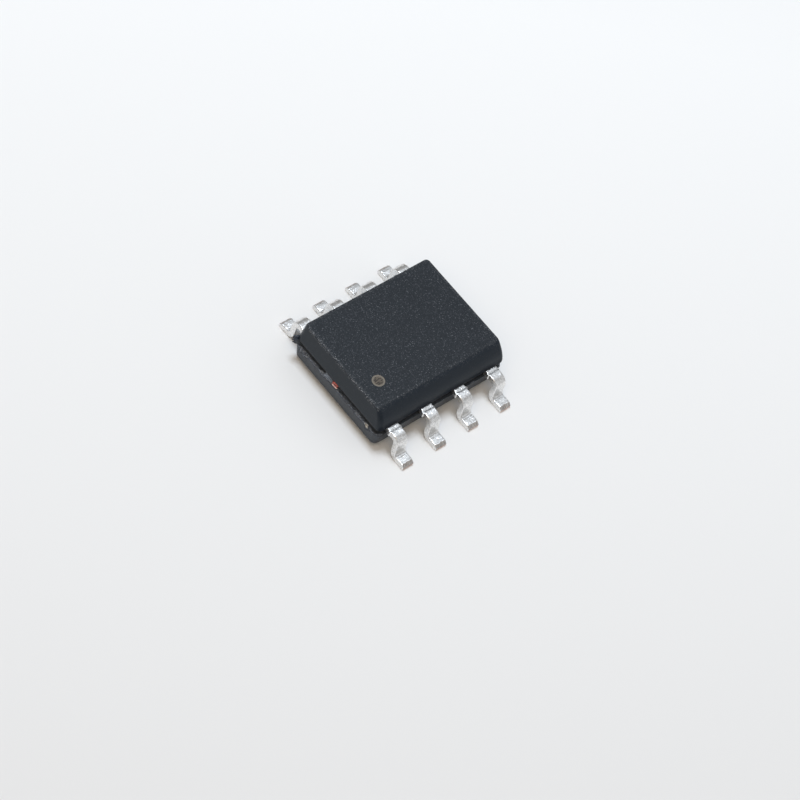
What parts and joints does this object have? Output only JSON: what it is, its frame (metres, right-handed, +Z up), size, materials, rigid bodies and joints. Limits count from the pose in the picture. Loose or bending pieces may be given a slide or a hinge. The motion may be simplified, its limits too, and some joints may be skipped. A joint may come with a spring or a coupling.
{
  "type": "mosfet transistor",
  "caption": "MOSFET transistor in a small-outline surface-mount package: a bevelled moulded body with gull-wing leads along both long sides.",
  "frame": {"origin": "middle of the part, on the plane that the feet stand on", "axes": "+X along the body away from lead 1, +Y across the leads towards leads 5 to 8, +Z up from the feet"},
  "size_m": [0.005, 0.006, 0.0016],
  "materials": {
    "mould_compound": "fine matt moulding with silica filler specks",
    "tin_plate": "matt tin on copper alloy",
    "silicon": "polished silicon",
    "die_solder": "dull solder",
    "gold_wire": "drawn gold wire"
  },
  "bodies": {
    "root": {"body": "mould_compound", "source_lead_1": "tin_plate", "gate_lead_1": "tin_plate", "source_lead_2": "tin_plate", "gate_lead_2": "tin_plate", "drain_frame_1": "tin_plate", "drain_frame_2": "tin_plate", "die_attach_1": "die_solder", "die_attach_2": "die_solder", "die_1": "silicon", "die_2": "silicon", "gate_wire_1": "gold_wire", "source_wire_1a": "gold_wire", "source_wire_1b": "gold_wire", "source_wire_1c": "gold_wire", "gate_wire_2": "gold_wire", "source_wire_2a": "gold_wire", "source_wire_2b": "gold_wire", "source_wire_2c": "gold_wire"}
  },
  "joints": []
}
